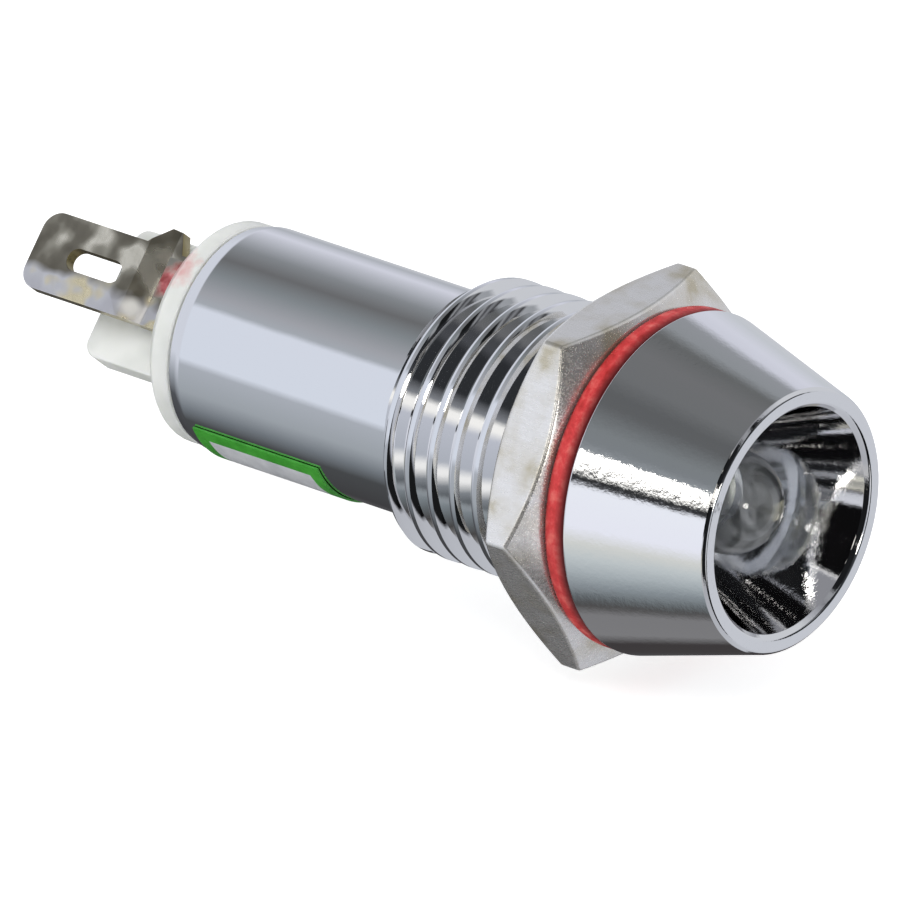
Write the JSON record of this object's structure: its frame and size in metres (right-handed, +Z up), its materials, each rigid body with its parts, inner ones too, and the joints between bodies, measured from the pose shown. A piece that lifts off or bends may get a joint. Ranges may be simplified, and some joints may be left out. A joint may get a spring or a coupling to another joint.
{
  "type": "panel pilot light",
  "caption": "Chrome panel pilot light: recessed clear lamp, conical head, red gasket, hex nut on a threaded barrel, nylon end plug with two solder lugs.",
  "frame": {"origin": "centre of the panel seat, where the lamp's axis meets the head's rear face", "axes": "-Y out of the lens, +Y back along the thread, +X to the right and +Z up as seen by someone facing the panel"},
  "size_m": [0.0116, 0.0266, 0.0104],
  "materials": {
    "chrome_plate": "bright chrome plate on turned brass",
    "red_rubber": "matte red sealing rubber",
    "nickel_plate": "satin nickel plate",
    "clear_epoxy": "water-clear moulded epoxy",
    "silvered_frame": "silvered lead frame",
    "die_crystal": "small yellow crystal",
    "black_nylon": "matte moulded",
    "card_tube": "matte insulating board",
    "white_nylon": "natural nylon, slightly see-through",
    "tinned_brass": "dull tinned brass with stains",
    "red_paint": "thin brushed paint",
    "green_print": "printed film",
    "pale_print": "printed film, blank",
    "resistor_lacquer": "lacquer",
    "tinned_wire": "tinned copper",
    "black_sleeve": "shrunk sleeve",
    "black_insulation": "wire insulation",
    "solder": "bright solder"
  },
  "bodies": {
    "lamp": {"lamp_body": "chrome_plate", "led_lens": "clear_epoxy", "led_cathode_frame": "silvered_frame", "led_anode_post": "silvered_frame", "led_die": "die_crystal", "led_collar": "black_nylon", "insulating_tube": "card_tube", "end_plug": "white_nylon", "positive_lug": "tinned_brass", "negative_lug": "tinned_brass", "polarity_mark": "red_paint", "rating_label": "green_print", "label_field": "pale_print", "resistor": "resistor_lacquer", "resistor_lead_front": "tinned_wire", "resistor_lead_rear": "tinned_wire", "return_wire": "tinned_wire", "resistor_sleeve": "black_sleeve", "return_wire_insulation": "black_insulation", "solder_anode": "solder", "solder_cathode": "solder", "solder_positive_lug": "solder", "solder_negative_lug": "solder"},
    "turning_ring": {"sealing_gasket": "red_rubber"},
    "nut": {"hex_nut": "nickel_plate"}
  },
  "joints": [
    {"name": "nut_turn", "type": "hinge", "parent": "lamp", "child": "turning_ring", "pos_m": [0, 0, 0], "axis": [0, 1, 0], "range_deg": [0, 2161]},
    {"name": "nut_travel", "type": "slide", "parent": "turning_ring", "child": "nut", "axis": [0, 1, 0], "range_m": [0, 0.0048]}
  ],
  "couplings": [
    {"joint": "nut_turn", "follows": "nut_travel", "rad_per_m": 7854}
  ]
}
